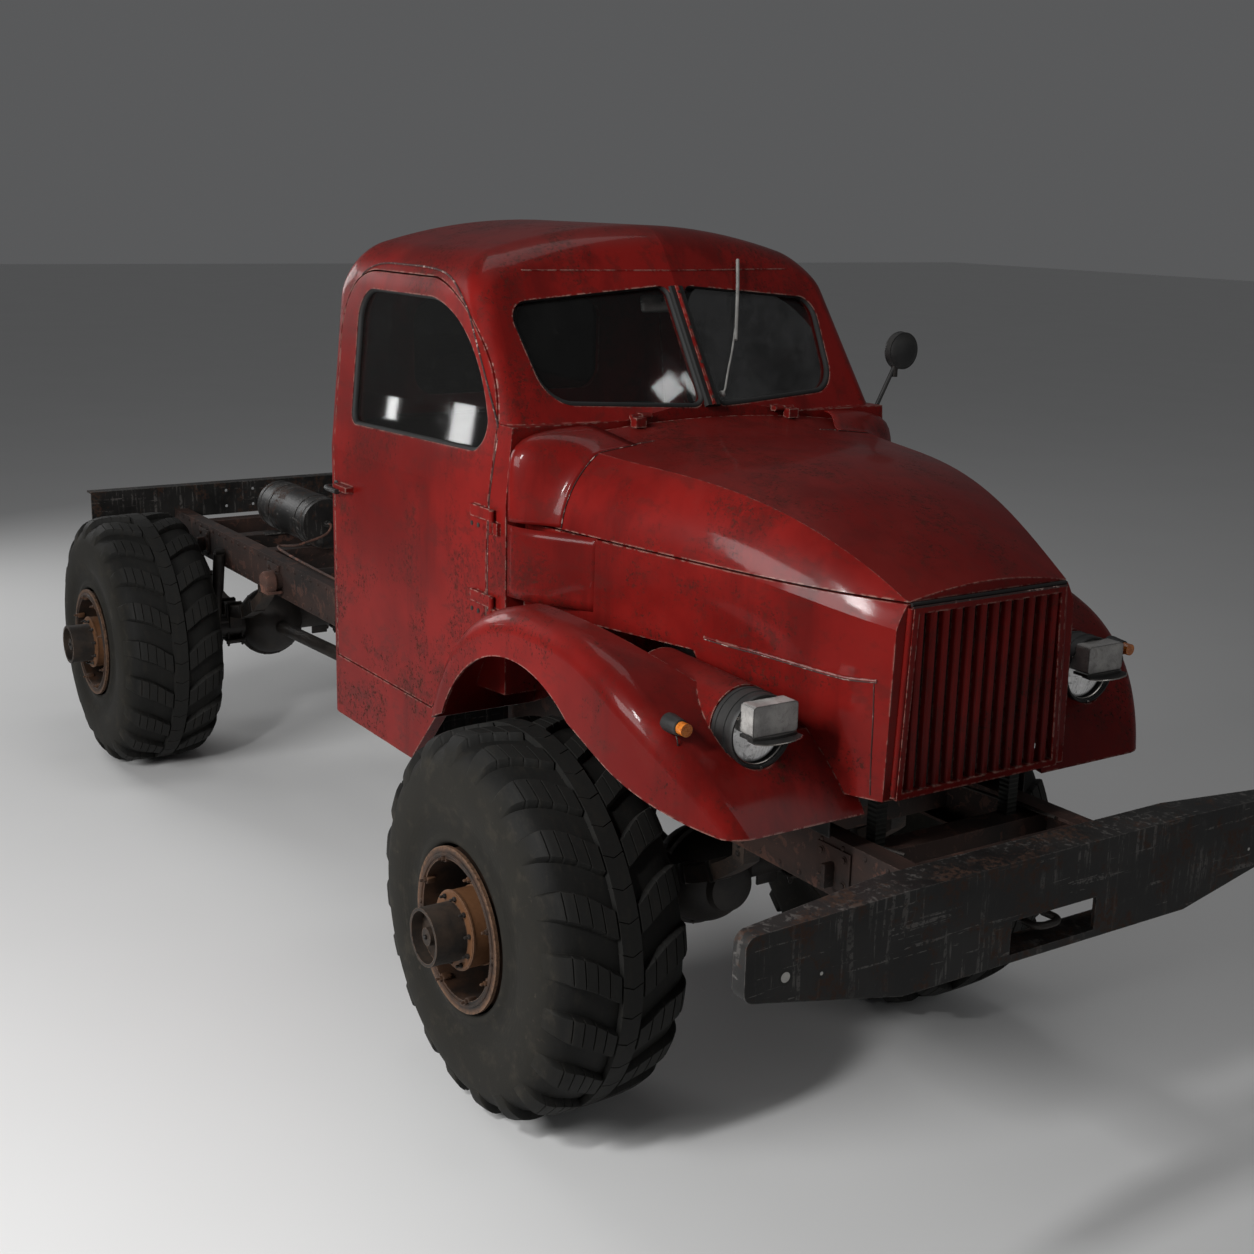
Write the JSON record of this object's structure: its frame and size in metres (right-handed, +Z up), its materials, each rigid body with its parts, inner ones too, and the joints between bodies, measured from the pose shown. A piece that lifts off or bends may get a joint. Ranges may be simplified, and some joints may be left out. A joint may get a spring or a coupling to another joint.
{
  "type": "lifted off-road truck, chassis and cab",
  "caption": "Bonneted off-road chassis-cab truck on large balloon tyres: hollow cab with doors, lifting hood, steered front axle, bare ladder frame and heavy front bumper.",
  "frame": {"origin": "on the ground under the middle of the truck's outer box", "axes": "+X forward, +Y to the truck's left, +Z up"},
  "size_m": [6.388, 2.38, 2.8696],
  "materials": {
    "tyre_rubber": "dusty worn rubber",
    "rusty_rim": "rusty brown, flaking",
    "clear_glass": "clear with dust",
    "red_paint": "worn semi-gloss with chips and rust",
    "black_paint": "scratched matt black",
    "brown_frame": "peeling paint over rust",
    "cast_iron": "oily, dusty",
    "dark_steel": "dull, rust specks",
    "aluminium": "dull core",
    "frosted_cover": "frosted pane",
    "amber_plastic": "translucent amber",
    "black_plastic": "worn black",
    "seat_leather": "dark worn cover"
  },
  "bodies": {
    "chassis": {"air_tank": "black_paint", "bench_seat": "seat_leather", "bonnet_sides": "red_paint", "cab_shell": "red_paint", "cross_members": "brown_frame", "dashboard": "black_plastic", "drive_shafts": "dark_steel", "engine_block": "cast_iron", "fender_left": "red_paint", "fender_right": "red_paint", "frame_rail_left": "brown_frame", "frame_rail_right": "brown_frame", "front_axle": "cast_iron", "front_bumper": "black_paint", "gearbox": "cast_iron", "grille": "red_paint", "headlamp_covers": "frosted_cover", "headlamp_lenses": "clear_glass", "headlamps": "black_plastic", "leaf_springs": "dark_steel", "radiator": "aluminium", "rear_axle": "cast_iron", "rear_beam": "black_paint", "rear_glass": "clear_glass", "side_mirror": "black_plastic", "steering_column": "dark_steel", "turn_signals": "amber_plastic", "windscreen_glass": "clear_glass", "wiper": "dark_steel"},
    "knuckle_left": {"knuckle_left": "cast_iron"},
    "knuckle_right": {"knuckle_right": "cast_iron"},
    "wheel_front_left": {"tyre_front_left": "tyre_rubber", "wheel_front_left": "rusty_rim"},
    "wheel_front_right": {"tyre_front_right": "tyre_rubber", "wheel_front_right": "rusty_rim"},
    "wheel_rear_left": {"tyre_rear_left": "tyre_rubber", "wheel_rear_left": "rusty_rim"},
    "wheel_rear_right": {"tyre_rear_right": "tyre_rubber", "wheel_rear_right": "rusty_rim"},
    "door_left": {"door_left": "red_paint", "door_glass_left": "clear_glass"},
    "door_right": {"door_right": "red_paint", "door_glass_right": "clear_glass"},
    "hood": {"hood": "red_paint"},
    "steering_wheel": {"steering_wheel": "black_plastic"}
  },
  "joints": [
    {"name": "steer_left", "type": "hinge", "parent": "chassis", "child": "knuckle_left", "pos_m": [1.656, 0.61, 0.65], "axis": [0, 0, 1], "range_deg": [-20, 20]},
    {"name": "steer_right", "type": "hinge", "parent": "chassis", "child": "knuckle_right", "pos_m": [1.656, -0.61, 0.65], "axis": [0, 0, 1], "range_deg": [-20, 20]},
    {"name": "steering_wheel_turn", "type": "hinge", "parent": "chassis", "child": "steering_wheel", "pos_m": [1.016, 0.36, 2.12], "axis": [-0.5736, 0, 0.8192], "range_deg": [-360, 360]},
    {"name": "wheel_front_left_spin", "type": "hinge", "parent": "knuckle_left", "child": "wheel_front_left", "pos_m": [1.656, 0.806, 0.65], "axis": [0, 1, 0], "continuous": true},
    {"name": "wheel_front_right_spin", "type": "hinge", "parent": "knuckle_right", "child": "wheel_front_right", "pos_m": [1.656, -0.806, 0.65], "axis": [0, 1, 0], "continuous": true},
    {"name": "wheel_rear_left_spin", "type": "hinge", "parent": "chassis", "child": "wheel_rear_left", "pos_m": [-2.464, 0.806, 0.65], "axis": [0, 1, 0], "continuous": true},
    {"name": "wheel_rear_right_spin", "type": "hinge", "parent": "chassis", "child": "wheel_rear_right", "pos_m": [-2.464, -0.806, 0.65], "axis": [0, 1, 0], "continuous": true},
    {"name": "door_left_hinge", "type": "hinge", "parent": "chassis", "child": "door_left", "pos_m": [1.416, 0.814, 1.8], "axis": [0, 0, -1], "range_deg": [0, 65]},
    {"name": "door_right_hinge", "type": "hinge", "parent": "chassis", "child": "door_right", "pos_m": [1.416, -0.814, 1.8], "axis": [0, 0, 1], "range_deg": [0, 65]},
    {"name": "hood_hinge", "type": "hinge", "parent": "chassis", "child": "hood", "pos_m": [1.506, 0, 2.26], "axis": [0, -1, 0], "range_deg": [0, 45]}
  ],
  "couplings": [
    {"joint": "steer_right", "follows": "steer_left", "ratio": 1},
    {"joint": "steering_wheel_turn", "follows": "steer_left", "ratio": 18}
  ]
}
